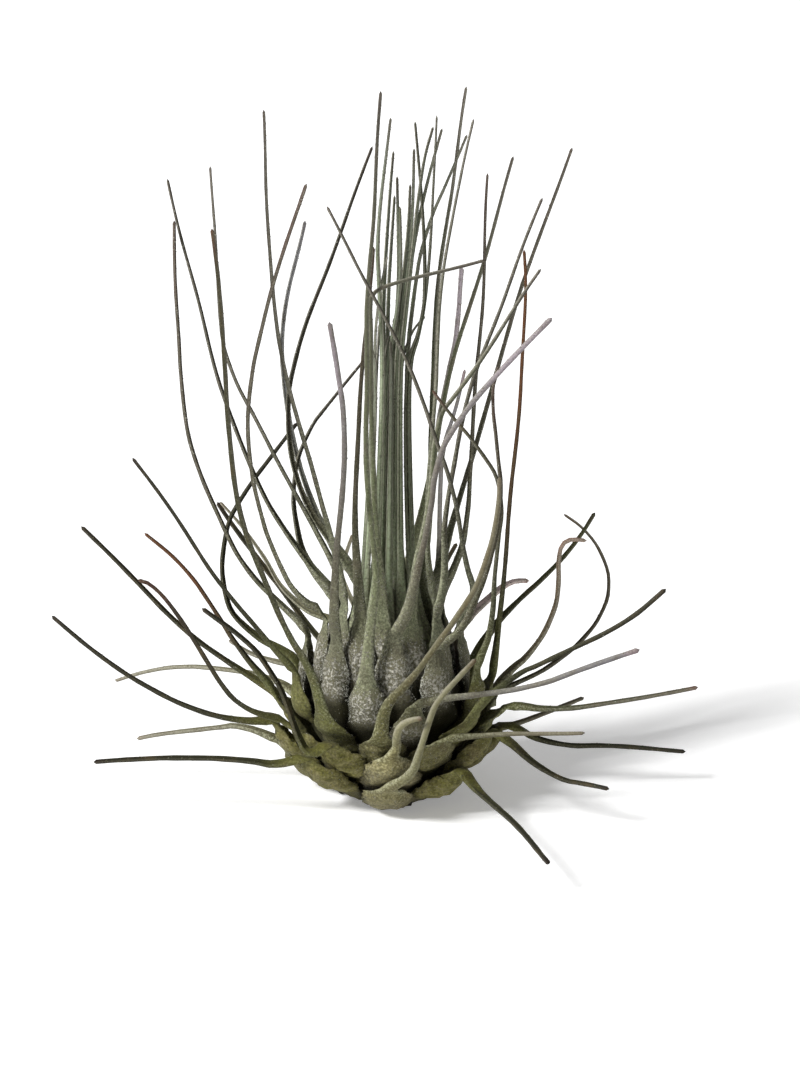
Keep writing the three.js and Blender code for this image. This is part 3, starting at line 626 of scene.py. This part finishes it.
# Leaf skin: a colour that runs from the root over sheath, neck and blade to the far end and the tip,
# then blotches, pale dust on a dry sheath and darker patches in the hollows of its relief, a dark and
# pale grain, silver scurf that thickens to a crust where the leaf is silver, pale edges, and painted
# shade under other leaves and in crevices and grooves, with each leaf's own darker tone. Grain and
# crust fade along the thread, and the bump comes from the same grain, crust and sheath relief.
def leaf_skin(name, root, sheath, neck, blade, far, tip, tip_start=0.93, blotch=BROWN_BLOTCH,
              pale_edge=0.6, dust_and_hollows=0.0, scurf=1.0):
    material, tree, shader = new_skin(name)
    place_on_leaf = skin_fact(tree, "place_on_leaf")
    silver = skin_fact(tree, "silver")
    cloud = speckle(tree, Scale=240.0, Detail=3.0, Roughness=0.6)
    heap = speckle(tree, Scale=700.0, Detail=6.0, Roughness=0.72)
    rime = speckle(tree, Scale=2100.0, Detail=6.0, Roughness=0.66, Distortion=0.3)
    grain = speckle(tree, Scale=2600.0, Detail=4.0, Roughness=0.7)
    on_sheath = reach(tree, place_on_leaf, -0.12, 0.02, 1, 0)
    coarse = reach(tree, place_on_leaf, 0.04, 0.45, 1, 0.3)

    stops = [(0.0, root), (0.22, sheath), (0.5, neck), (0.6, blade),
             (0.5 + tip_start * 0.5, far), (0.5 + min(0.995, tip_start + 0.06) * 0.5, tip)]
    colour = colour_run(tree, reach(tree, place_on_leaf, -1, 1, 0, 1), stops)
    colour = blend(tree, reach(tree, cloud, 0.5, 0.72, 0, 0.55), colour, blotch)
    dusty = times(tree, reach(tree, heap, 0.44, 0.64, 0, 1), on_sheath, dust_and_hollows)
    colour = blend(tree, dusty, colour, SHEATH_DUST)
    # Darker in the hollows of the sheath's relief, following the same noise as the crumple bump
    hollow_dark = times(tree, reach(tree, heap, 0.5, 0.36, 0, 1), on_sheath, dust_and_hollows)
    colour = blend(tree, hollow_dark, colour, SHEATH_HOLLOW_DARK)
    shade = times(tree, reach(tree, grain, 0.42, 0.6, 0.5 + 0.14 * scurf, 0.0), coarse)
    colour = blend(tree, shade, colour, GRAIN_SHADE)
    fleck = times(tree, reach(tree, grain, 0.56, 0.63, 0, 0.5 * scurf), coarse)
    colour = blend(tree, fleck, colour, GRAIN_FLECK)
    silvered = times_and_add(tree, silver, 0.27, rime)
    frost = times(tree, reach(tree, silvered, 0.46, 0.7, 0, 0.8 * scurf),
                  reach(tree, silver, 0.22, 0.6, 0.16, 1))
    colour = blend(tree, frost, colour, SCURF_GREY)
    crust = reach(tree, silvered, 0.68, 0.8, 0, 1)
    colour = blend(tree, times(tree, crust, 0.9 * scurf, coarse), colour, SILVER_CRUST)
    stipple = reach(tree, grain, 0.44, 0.56, reach(tree, coarse, 1, 0.3, 0.1, 0.6), 1)
    edge = times(tree, skin_fact(tree, "edge"), pale_edge, stipple)
    colour = blend(tree, edge, colour, blend(tree, coarse, THREAD_EDGE, NECK_EDGE))
    # Painted shade under other leaves, in sheath crevices, along tuft grooves and on the tuft's shaded
    # side, mixed with each leaf's own darker tone
    colour = blend(tree, times(tree, skin_fact(tree, "dark"), 1.0), colour, SHADE_AND_DARK_TONE)

    relief = times_and_add(tree, crust, 2.2, grain)
    bump = node(tree, "Bump", Strength=0.9, Distance=0.0002, Height=relief)
    crumple = node(tree, "Bump", Strength=times(tree, on_sheath, 0.9), Distance=0.0005,
                   Height=heap, Normal=bump.outputs["Normal"])
    fit_all(tree, shader, Base_Color=colour, Roughness=reach(tree, grain, 0.3, 0.7, 0.62, 0.86),
            Normal=crumple.outputs["Normal"], Sheen_Weight=0.03, Sheen_Roughness=0.45,
            Specular_IOR_Level=0.16)
    return material


def scale_skin():
    material, tree, shader = new_skin("silver leaf scale")
    silvered = times_and_add(tree, skin_fact(tree, "silver"), 0.7, speckle(tree, Scale=900.0))
    tone = colour_run(tree, silvered, [(0.72, (98, 95, 72)), (1.0, (214, 214, 200))])
    fit_all(tree, shader, Base_Color=tone, Roughness=0.6, Specular_IOR_Level=0.3)
    return material


silver_scale = scale_skin()
LOWER_ROOT = (138, 122, 78)
LOWER_SHEATH = (154, 147, 74)
LOWER_NECK = (100, 99, 42)
olive_leaf = leaf_skin("olive lower leaf", LOWER_ROOT, LOWER_SHEATH, LOWER_NECK, (34, 34, 12),
                       (30, 28, 16), (30, 20, 16), pale_edge=0.08, dust_and_hollows=0.5, scurf=0.2)
tan_leaf = leaf_skin("tan dry leaf", LOWER_ROOT, LOWER_SHEATH, (104, 100, 64), (110, 108, 84),
                     (124, 120, 102), (118, 106, 88))
khaki_leaf = leaf_skin("khaki chin leaf", (168, 150, 112), (172, 160, 116), (146, 140, 94),
                       (136, 133, 98), (126, 122, 94), (96, 76, 56), dust_and_hollows=0.5)
maroon_tip_leaf = leaf_skin("maroon tipped leaf", LOWER_ROOT, LOWER_SHEATH, LOWER_NECK,
                            (34, 34, 12), (40, 28, 18), (60, 24, 22), tip_start=0.8,
                            pale_edge=0.08, dust_and_hollows=0.5, scurf=0.25)
brown_hook_leaf = leaf_skin("brown hooked leaf", LOWER_ROOT, LOWER_SHEATH, (92, 88, 54),
                            (108, 97, 74), (142, 123, 104), (178, 146, 130), tip_start=0.8)
umber_leaf = leaf_skin("umber curled leaf", LOWER_ROOT, LOWER_SHEATH, LOWER_NECK, (52, 48, 28),
                       (66, 56, 42), (72, 52, 42), pale_edge=0.3, dust_and_hollows=0.5, scurf=0.5)
straw_leaf = leaf_skin("straw green leaf", LOWER_ROOT, LOWER_SHEATH, (98, 96, 54), (86, 82, 56),
                       (112, 105, 86), (106, 96, 80), pale_edge=0.3, dust_and_hollows=0.4)

LOWER_SKINS = {0: khaki_leaf, 1: straw_leaf, 2: tan_leaf, 7: tan_leaf, 8: khaki_leaf, 9: umber_leaf,
               14: brown_hook_leaf}

for leaf, course in enumerate(LOWER_COURSES):
    piece = grow_leaf(leaf, course, LOWER_SILVER, LOWER_TIPS)
    piece.data.materials.append(LOWER_SKINS.get(leaf, olive_leaf))
    piece.data.materials.append(silver_scale)
    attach(piece, "root")
    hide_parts(f"leaf_{leaf + 1:02d}")


# The eighteen middle leaves round the widest part of the bulb: grey-green spoons, some with a
# silver crust, and threads that rise and spread. Live leaf, grown from the stem over the lowest
# ones. The older threads have dried to tan, brown or russet.
FIRST_MIDDLE = 16
MIDDLE_SILVER = 0.32
SILVER_MIDDLE = {29: 0.7}
MIDDLE_TIPS = {24: 0.5, 28: 0.4, 29: 0.5, 31: 0.37}
MIDDLE_COURSES = [
    [(20, 10.4), (28, 10.5), (34.6, 10.5, 25)],
    [(5, 27, -32), (9, 38, -42), (12, 44, -47)],
    [(-22.9, 13.9, 13), (-25.9, 15.4), (-28.6, 17.7), (-33, 24.3), (-38.6, 33.2), (-42.1, 37.1),
     (-44.1, 37.7, 20)],
    [(29.8, 14.6), (39.6, 15.7), (54.8, 18.6, 6)],
    [(-22.9, 23.9), (-28.2, 26.8, -28)],
    [(-0.5, 15.4, 21.5), (2.1, 18), (6.6, 23), (14.6, 34.1), (17.1, 40.2), (19.6, 49.3),
     (20, 55.5, 24)],
    [(17.7, 28.2, -15), (22.7, 33.6), (28.6, 38.9), (33.4, 44.3), (36.6, 49.3, -24)],
    [(-26.4, 25.2), (-30.9, 32.7), (-36.3, 40), (-43.2, 45.9, 1)],
    [(21.8, 20.7), (28.9, 23.4), (41.8, 30), (49.3, 35.9, 26)],
    [(-8.6, 38.6, -38), (-7.7, 41.6), (-6.4, 45.4, -44)],
    [(-13.9, 22, 17), (-18.4, 29.1), (-22.5, 38.2), (-26.1, 48), (-28.6, 62.7), (-29.1, 78.8),
     (-31.4, 99.8, 26)],
    [(19.8, 31.4), (21.4, 48.4), (23.4, 69.8), (24.6, 87.7), (24.1, 96.1, -5)],
    [(-26.4, 29.3), (-29.5, 35.5), (-29.3, 45.7), (-27.1, 51.6), (-18.8, 62.1),
     (-16.4, 65.4, -20)],
    [(9.3, 16.6, 20), (16.4, 17.3), (27.1, 19.1), (33, 21.3), (44.5, 25.2, 28)],
    [(8.9, 41.3, -16), (9.3, 52), (9.8, 61.8), (11.6, 67.1), (13.6, 75, -30)],
    [(-22, 27.5), (-29.1, 35.9), (-38.9, 50.5), (-45.2, 59.1, 16)],
    [(18.6, 29.6), (19.1, 41.3), (20.5, 53.8, 11), (16.4, 61.4), (10.7, 67.7), (8, 71.1, 14)],
    [(-17.5, 33.6), (-23.8, 44.8), (-29.8, 51.3, -38)],
]

MIDDLE_ROOT = (112, 102, 64)
MIDDLE_SHEATH = (152, 149, 84)
MIDDLE_NECK = (106, 109, 60)
green_leaf = leaf_skin("grey green leaf", MIDDLE_ROOT, MIDDLE_SHEATH, MIDDLE_NECK,
                       (36, 38, 14), (30, 28, 14), (32, 22, 16), pale_edge=0.1, dust_and_hollows=0.3, scurf=0.2)
rose_leaf = leaf_skin("rose grey leaf", MIDDLE_ROOT, (116, 110, 90), (104, 104, 76),
                      (104, 101, 94), (107, 105, 111), (132, 116, 121), tip_start=0.92,
                      pale_edge=0.2)
russet_leaf = leaf_skin("russet tipped leaf", MIDDLE_ROOT, MIDDLE_SHEATH, MIDDLE_NECK,
                        (40, 38, 16), (78, 42, 6), (96, 50, 12), tip_start=0.6,
                        pale_edge=0.1, dust_and_hollows=0.3, scurf=0.2)
moss_leaf = leaf_skin("moss green leaf", MIDDLE_ROOT, MIDDLE_SHEATH, MIDDLE_NECK,
                      (52, 53, 30), (72, 76, 46), (62, 62, 44), tip_start=0.9, pale_edge=0.2,
                      scurf=0.6)
brown_tip_leaf = leaf_skin("brown tipped leaf", MIDDLE_ROOT, MIDDLE_SHEATH, MIDDLE_NECK,
                           (50, 53, 30), (56, 51, 35), (86, 54, 44), pale_edge=0.3)

MIDDLE_SKINS = {16: straw_leaf, 18: maroon_tip_leaf, 19: brown_tip_leaf, 20: tan_leaf,
                21: straw_leaf, 22: moss_leaf, 23: russet_leaf, 25: tan_leaf, 26: brown_tip_leaf,
                27: russet_leaf, 29: rose_leaf, 30: rose_leaf, 32: brown_tip_leaf, 33: tan_leaf}

for leaf, course in enumerate(MIDDLE_COURSES, start=FIRST_MIDDLE):
    piece = grow_leaf(leaf, course, SILVER_MIDDLE.get(leaf, MIDDLE_SILVER), MIDDLE_TIPS)
    piece.data.materials.append(MIDDLE_SKINS.get(leaf, green_leaf))
    piece.data.materials.append(silver_scale)
    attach(piece, "root")
    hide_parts(f"leaf_{leaf + 1:02d}")


# The upper twenty-four leaves on the shoulder of the bulb: round silver-crusted spoons, pinched
# at the neck, and the long upright threads. Young leaf, still soft, and thick with scales, grown
# from the top of the stem.
FIRST_UPPER = 34
UPPER_SILVER = 0.85
BARE_UPPER = {40: 0.5, 45: 0.55, 46: 0.5}
UPPER_TIPS = {35: 0.5, 36: 0.36, 38: 0.42, 39: 0.45, 42: 0.42, 44: 0.36, 46: 0.34}
UPPER_FROST = 0.2
UPPER_COURSES = [
    [(-3, 30.5, 14), (-2.1, 37.7), (-2.9, 44.8), (-4.1, 62.7, 9), (-3.9, 73.4), (-3.6, 91.3),
     (-2.3, 107.3), (-1.4, 124.6, 6)],
    [(18.2, 35), (21.8, 37.7), (24.8, 37.7, -16)],
    [(-19.3, 33.6, -5), (-24.6, 39.1), (-28.9, 45.7), (-34.6, 59.1), (-37, 72.5), (-37.5, 82.3),
     (-38.2, 101.4, -12)],
    [(13.2, 28.8, 13.5), (15.2, 33.2), (17.7, 39.5), (20.5, 52, 18), (19.6, 60.9), (18.2, 70.7),
     (19.5, 75.5, 20)],
    [(5.7, 41.3, -14), (7.5, 52), (8.6, 62.7), (10.7, 75.2), (12.3, 82.3), (13.2, 93, -22)],
    [(-9.8, 30.5, 11), (-9.5, 37.7), (-8.2, 52.9), (-7.7, 65.4), (-8.4, 72.5), (-10.5, 83.4, 18)],
    [(15.5, 35), (13.8, 40.9), (11.1, 55, 11.5), (8.8, 62.1, 13), (5.7, 71.1), (0.9, 81.4, 13.5),
     (-5, 93), (-10.9, 103.9, 15)],
    [(-14.6, 40.9, -11), (-16.3, 45.7), (-17.1, 54.6), (-14.6, 64.1), (-10.4, 69.8),
     (-4.6, 76.4, -18)],
    [(3, 30.5, 13), (4.8, 37.7), (7.5, 48.4), (8.4, 59.1), (12.9, 66.8), (18.8, 73.8),
     (28.8, 84.1, 24)],
    [(9.3, 39.5, -11), (12, 50.5), (16.3, 63.6), (21.8, 84.1), (27.9, 101.6), (32.7, 114.5, -24)],
    [(-15.7, 34.1, 3), (-20, 42.1), (-22.9, 49.3), (-24.8, 60), (-24.8, 72.5), (-22.5, 83.2),
     (-18.4, 97.1), (-14.8, 107.9, 10)],
    [(9.8, 35.9, 7), (10.2, 41.3), (9.9, 48), (11.6, 59.1), (14.6, 71.6, 10), (16.8, 78.4),
     (22, 91.6), (27.3, 105.5, 14)],
    [(-6.4, 39.1, -12), (-10, 43.4), (-15.2, 55.5), (-19.1, 73.4), (-18.6, 85.9),
     (-15, 101.4, -26)],
    [(-5.4, 35.9, 9), (-5.9, 48.4, 7), (-5.5, 64.5, 5.5), (-4.1, 80.5, 3.8), (-2.7, 96.6, 3.6)],
    [(12, 40.4, -4), (14.1, 46.6), (14.6, 60.9), (16.6, 84.1), (17.7, 109.8, -10)],
    [(-11.8, 37.7, -5), (-17.1, 44.8), (-23.6, 55), (-30, 72.5), (-35.4, 93), (-39.3, 108.8, -14)],
    [(5, 39.5, 8), (6.8, 48.4), (8.8, 66.3, 10), (12.3, 71.1, 13), (20, 82.3, 15),
     (27.1, 92.9, 20)],
    [(4, 42, -8.5), (7.5, 55.5), (10.2, 72.5), (15.4, 89.1), (19.6, 103.4), (22.3, 113, -14)],
    [(-9.5, 43.9, 5), (-12.5, 53.8), (-17.1, 69.8), (-20.4, 85), (-21.6, 105.5),
     (-22.3, 121.3, 4)],
    [(6.4, 44.8, 3), (8, 66.3), (8.9, 84.1), (10.7, 100.2), (15.2, 119.5, 2)],
    [(-15.7, 52.9), (-18.6, 67.1), (-15.9, 80), (-9.5, 97), (-3, 114.6, -14)],
    [(-1.8, 41.3, 7.5), (-2.5, 52, 6.6), (-3, 62.7, 6.2), (-3, 80.5, 6), (-3.4, 87.7, 5.8),
     (-2.7, 89.1), (0.4, 90.4, 6.4), (9.3, 92.7), (16.8, 94.8, 9)],
    [(7.4, 50), (8, 80.5), (9.8, 98.4), (12, 111.8), (13.9, 125.2, -6)],
    [(-15.2, 51.1), (-22, 63.2), (-28.9, 76.6), (-30.2, 87.7), (-31.6, 111.1, -4)],
]

UPPER_ROOT = (98, 90, 66)
UPPER_SHEATH = (116, 110, 90)
UPPER_NECK = (138, 143, 116)
TAUPE_BLOTCH = (94, 82, 76)
silver_leaf = leaf_skin("silver sheathed leaf", UPPER_ROOT, UPPER_SHEATH, UPPER_NECK,
                        (46, 47, 33), (58, 52, 49), (66, 54, 52), blotch=TAUPE_BLOTCH,
                        pale_edge=0.36)
sage_leaf = leaf_skin("sage inner leaf", UPPER_ROOT, UPPER_SHEATH, (142, 148, 116),
                      (104, 112, 80), (72, 68, 64), (74, 66, 64), blotch=TAUPE_BLOTCH,
                      pale_edge=0.7)
silver_rose_leaf = leaf_skin("silver rose leaf", UPPER_ROOT, UPPER_SHEATH, (130, 131, 108),
                             (90, 85, 74), (131, 125, 128), (150, 140, 147), tip_start=0.75,
                             blotch=TAUPE_BLOTCH, pale_edge=0.3)
blue_grey_leaf = leaf_skin("blue grey leaf", UPPER_ROOT, UPPER_SHEATH, UPPER_NECK, (104, 106, 98),
                           (156, 156, 160), (146, 142, 146), blotch=TAUPE_BLOTCH, pale_edge=0.5)
silver_brown_leaf = leaf_skin("silver brown leaf", UPPER_ROOT, UPPER_SHEATH, (124, 126, 100),
                              (54, 52, 36), (58, 47, 40), (70, 48, 44), tip_start=0.8,
                              blotch=TAUPE_BLOTCH, pale_edge=0.25)

# Painted light: the stub is coloured near white so that it still looks pale pink in the shade where it
# lies
lit_pink_stub_leaf = leaf_skin("lit pink stub leaf", UPPER_ROOT, UPPER_SHEATH, (156, 142, 128),
                           (250, 226, 222), (252, 228, 225), (200, 160, 150),
                           blotch=TAUPE_BLOTCH, scurf=0)

UPPER_SKINS = {34: sage_leaf, 50: sage_leaf, 51: sage_leaf, 53: sage_leaf, 55: sage_leaf,
               56: sage_leaf, 35: lit_pink_stub_leaf, 36: silver_brown_leaf, 37: silver_brown_leaf,
               38: silver_rose_leaf, 39: silver_rose_leaf, 42: silver_rose_leaf,
               44: silver_brown_leaf, 46: blue_grey_leaf, 47: silver_brown_leaf,
               48: silver_brown_leaf}

for leaf, course in enumerate(UPPER_COURSES, start=FIRST_UPPER):
    piece = grow_leaf(leaf, course, BARE_UPPER.get(leaf, UPPER_SILVER), UPPER_TIPS, UPPER_FROST)
    piece.data.materials.append(UPPER_SKINS.get(leaf, silver_leaf))
    piece.data.materials.append(silver_scale)
    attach(piece, "root")
    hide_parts(f"leaf_{leaf + 1:02d}")


# The tuft: nineteen of the youngest leaves, pressed together round the heart of the plant
# and parting near the top. Soft green leaf with silver edges, channelled down the inside, grown
# from the growing point of the stem.
TUFT_PITCH = 1.5
TUFT_PARTING = 76
TUFT_LEAN = 0.6
TUFT_BLADE_RADIUS = 0.72
TUFT_TIP_RADIUS = 0.23
TUFT_FOOT_LENGTH = 13
TUFT_CHANNEL_DEPTH = 1.3
TUFT_CHANNEL_START = 10
TUFT_CHANNEL_AT_TIP = 0.6
TUFT_SILVER = 0.3
TUFT_FOOT_SILVER = 0.35
TUFT_SCALES = 7
TUFT_FOOT_SCALES = 3
TUFT_FROST = 0.35
# Painted shade along the grooves of each tuft leaf
TUFT_GROOVE_SHADE = 0.6
TUFT_SEED = 1500

# Painted shade on the right side of the tuft, where its neighbours shade it, from a little above its
# foot
ABOVE_FOOT = (9, 26)
SHADED_SIDE = (-1.5, 3)
TUFT_SHADE = 0.42

# Rings of leaves from the middle out: first leaf, how many, the foot and the knee of each as
# distance out and height, and the radius at its foot. Each course is the free end past the parting.
TUFT_RINGS = [
    (0, 1, (0, 34), (0, 42), 1),
    (1, 6, (3.6, 32), (2.2, 40), 1.4),
    (7, 12, (6.4, 28.5), (4.5, 35.5), 1.7),
]
TUFT_COURSES = [
    [(1.9, 87.7), (1.6, 109.3, 0)],
    [(4, 82), (6.3, 84.5, -2)],
    [(1, 84, -2)],
    [(0, 89), (0.5, 96.6), (1.1, 105.9, -1)],
    [(0, 81, 1.5)],
    [(2.3, 90), (2.1, 103.9, 2)],
    [(2.7, 92), (3.6, 100.2), (3.9, 107.9, 0)],
    [(5.6, 82, -0.3), (7.1, 92.1), (8.2, 111.8), (8.6, 120.2, -3)],
    [(4.4, 88, -2.5), (6.3, 99.3), (11.4, 110.9), (13.9, 116.8, -5)],
    [(3.6, 92, -3.5), (6.1, 105.5), (9.5, 117.9, -8)],
    [(2.7, 88), (4.3, 101.1), (4.6, 114.3, -5)],
    [(-0.9, 87.7), (0.2, 105.5), (0.9, 113.8, -4)],
    [(-1.6, 83, -2)],
    [(-2, 86), (-0.2, 95.2, 0.5)],
    [(-3.1, 79), (-3.4, 83.5, 1.6)],
    [(-1.6, 90, 1.2), (-2, 99, 0.8), (0.4, 119.8, 3)],
    [(0.4, 80, 3.2)],
    [(3.4, 88, 3.5), (6.1, 111.8), (7.9, 118.2, 6)],
    [(6.2, 84, 2), (6.6, 92), (6.2, 103), (4.8, 119.1, 4.5)],
]

tuft_leaf = leaf_skin("green tuft leaf", (204, 216, 166), (204, 216, 166), (200, 213, 168),
                      (190, 204, 166), (126, 131, 120), (92, 87, 81), blotch=(112, 130, 88),
                      pale_edge=0.95)


def tuft_leaf_mesh(index):
    level = max(k for k, row in enumerate(TUFT_RINGS) if index >= row[0])
    first, count, foot, knee, foot_radius = TUFT_RINGS[level]
    angle = (index - first) / count * 2 * math.pi
    spoke = np.array([math.cos(angle), math.sin(angle)])
    seat = spoke * level * TUFT_PITCH
    parting = (seat[0] + TUFT_LEAN, TUFT_PARTING, -seat[1])
    points = [(*(spoke * foot[0]), foot[1]), (*(spoke * knee[0]), knee[1]), from_view(*parting),
              *course_in_space(TUFT_COURSES[index], parting)]
    places, directions, along = smooth_curve(points)
    share = along / along[-1]
    radii = TUFT_BLADE_RADIUS + (TUFT_TIP_RADIUS - TUFT_BLADE_RADIUS) * share
    near_foot = np.maximum(0, 1 - along / TUFT_FOOT_LENGTH)
    radii = radii + (foot_radius - radii) * near_foot
    channel = TUFT_CHANNEL_DEPTH * (1 - TUFT_CHANNEL_AT_TIP * share)
    channel = channel * smooth_share(along, 0, TUFT_CHANNEL_START)
    sideways = (-spoke[1], spoke[0], 0) if level else (1, 0, 0)
    rings = thread_rings(places, directions, sideways, radii, radii, channel)
    silver = TUFT_SILVER + TUFT_FOOT_SILVER * near_foot
    scales = TUFT_SCALES + TUFT_FOOT_SCALES * near_foot
    above_foot = smooth_share(along, *ABOVE_FOOT)
    # Painted shade on the leaves at the tuft's right side
    shaded = TUFT_SHADE * smooth_share(seat[0], *SHADED_SIDE) * above_foot
    painted_shades = np.stack([shaded, 0 * shaded], -1)
    return leaf_mesh(f"tuft leaf {index + 1}", rings, share, silver, scales, painted_shades,
                     TUFT_SEED + index, TUFT_FROST, TUFT_GROOVE_SHADE * above_foot)


# The heart: the buds packed inside the bulb, a core that fills what the sheaths leave free and
# closes to a point between the leaves of the tuft
LEAF_COUNT = 58
HEART_FOOT = 14
HEART_TILTS = range(60, 136, TILT_STEP)
HEART_NECK = [(7.2, 30), (4.2, 33.5), (2.6, 39), (0, 52)]
HEART_THINNEST = 0.05
HEART_SILVER = 0.3
HEART_FROST = 0.05
HEART_SEED = 77


def heart_mesh():
    profile = [(0, HEART_FOOT), (STEM_RADIUS, HEART_FOOT)]
    for tilt in HEART_TILTS:
        depth = layer_depth(LEAF_COUNT, tilt) + SHEATH_THICKNESS + SEAT_GAP
        inside = bulb_radius(tilt) - depth
        profile.append((inside * math.sin(math.radians(tilt)),
                        BULB_MIDDLE - inside * math.cos(math.radians(tilt))))
    profile += HEART_NECK
    run = np.linspace(0, len(profile) - 1, 4 * len(profile))
    out = np.interp(run, range(len(profile)), [p[0] for p in profile])
    height = np.interp(run, range(len(profile)), [p[1] for p in profile])
    angle = -np.arange(LEAF_SIDES) / LEAF_SIDES * 2 * math.pi
    rings = [np.stack([r * np.cos(angle), r * np.sin(angle), z + 0 * angle], -1)
             for r, z in zip(np.maximum(out, HEART_THINNEST), height)]
    flat = np.zeros(len(rings))
    painted_shades = np.zeros((len(rings), 2))
    return leaf_mesh("heart", rings, flat, flat + HEART_SILVER, flat + HEART_SILVER, painted_shades,
                     HEART_SEED, HEART_FROST)


bpy.ops.object.select_all(action="DESELECT")
tuft = bpy.data.objects.new("grown_tuft", heart_mesh())
buds = [bpy.data.objects.new("tuft_bud", tuft_leaf_mesh(k)) for k in range(len(TUFT_COURSES))]
for bud in (tuft, *buds):
    bpy.context.scene.collection.objects.link(bud)
    bud.select_set(True)
bpy.context.view_layer.objects.active = tuft
bpy.ops.object.join()
tuft.data.materials.append(tuft_leaf)
tuft.data.materials.append(silver_scale)
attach(tuft, "root")
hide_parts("tuft")


# The stem: the short woody core that every leaf grows from. Corky brown wood, cut off flat below,
# where its end shows among the lowest sheaths as a rough disc.
def stem_wood():
    material, tree, shader = new_skin("corky stem")
    grain = speckle(tree, Scale=1400.0, Detail=5.0)
    tone = colour_run(tree, grain, [(0.35, (58, 44, 34)), (0.68, (142, 120, 94))])
    bump = node(tree, "Bump", Strength=0.8, Distance=0.0002, Height=grain)
    fit_all(tree, shader, Base_Color=tone, Roughness=0.9, Normal=bump.outputs["Normal"])
    return material


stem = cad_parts["stem"]
stem.data.materials.clear()
stem.data.materials.append(stem_wood())


# The floor: a plain pale sheet that the plant stands on, a hair below it. It glows a little, as a
# studio sheet lit from behind does, which keeps the shadow light and soft.
FLOOR_HALF = 6
FLOOR_DROP = 0.00005
floor_mesh = bpy.data.meshes.new("floor")
floor_corners = [(across * FLOOR_HALF, back * FLOOR_HALF, 0)
                 for across, back in ((-1, -1), (1, -1), (1, 1), (-1, 1))]
floor_mesh.from_pydata(floor_corners, [], [(0, 1, 2, 3)])
floor = bpy.data.objects.new("floor", floor_mesh)
bpy.context.scene.collection.objects.link(floor)
floor.location.z = -FLOOR_DROP
floor_paint, floor_tree, floor_shader = new_skin("pale floor")
fit_all(floor_tree, floor_shader, Base_Color=(0.9, 0.9, 0.9, 1), Roughness=0.9,
        Specular_IOR_Level=0.1, Emission_Color=(1, 1, 1, 1), Emission_Strength=0.25)
floor_mesh.materials.append(floor_paint)


# The light: a pale room all round, and one broad soft lamp high over the viewer's left shoulder,
# which leaves the right side of the bulb in shade.
ROOM_STRENGTH = 0.27
LAMP_STRENGTH = 4.6
LAMP_BREADTH = 14
LAMP_TILT = 50
LAMP_TURN = -56
scene = bpy.context.scene
scene.view_settings.view_transform = "Standard"
room = bpy.data.worlds.new("pale room")
room.use_nodes = True
fit_all(room.node_tree, room.node_tree.nodes["Background"], Color=(1, 1, 1, 1),
        Strength=ROOM_STRENGTH)
scene.world = room
lamp_data = bpy.data.lights.new("soft lamp", "SUN")
lamp_data.energy = LAMP_STRENGTH
lamp_data.angle = math.radians(LAMP_BREADTH)
lamp = bpy.data.objects.new("soft lamp", lamp_data)
lamp.rotation_euler = (math.radians(LAMP_TILT), 0, math.radians(LAMP_TURN))
scene.collection.objects.link(lamp)


# The camera: half a metre in front of the plant and above it, tipped down at its middle, where the
# courses were read from. A long lens keeps the threads from splaying.
LENS = 94.5
SENSOR = 36
NEAREST_SEEN = 0.01
camera_data = bpy.data.cameras.new("camera")
camera_data.sensor_width = SENSOR
camera_data.lens = LENS
camera_data.clip_start = NEAREST_SEEN
camera = bpy.data.objects.new("camera", camera_data)
camera.location = (VIEW_ACROSS / MM_PER_METRE, -EYE_BACK / MM_PER_METRE, EYE_HEIGHT / MM_PER_METRE)
camera.rotation_euler = (math.pi / 2 - VIEW_ANGLE, 0, 0)
scene.collection.objects.link(camera)
scene.camera = camera
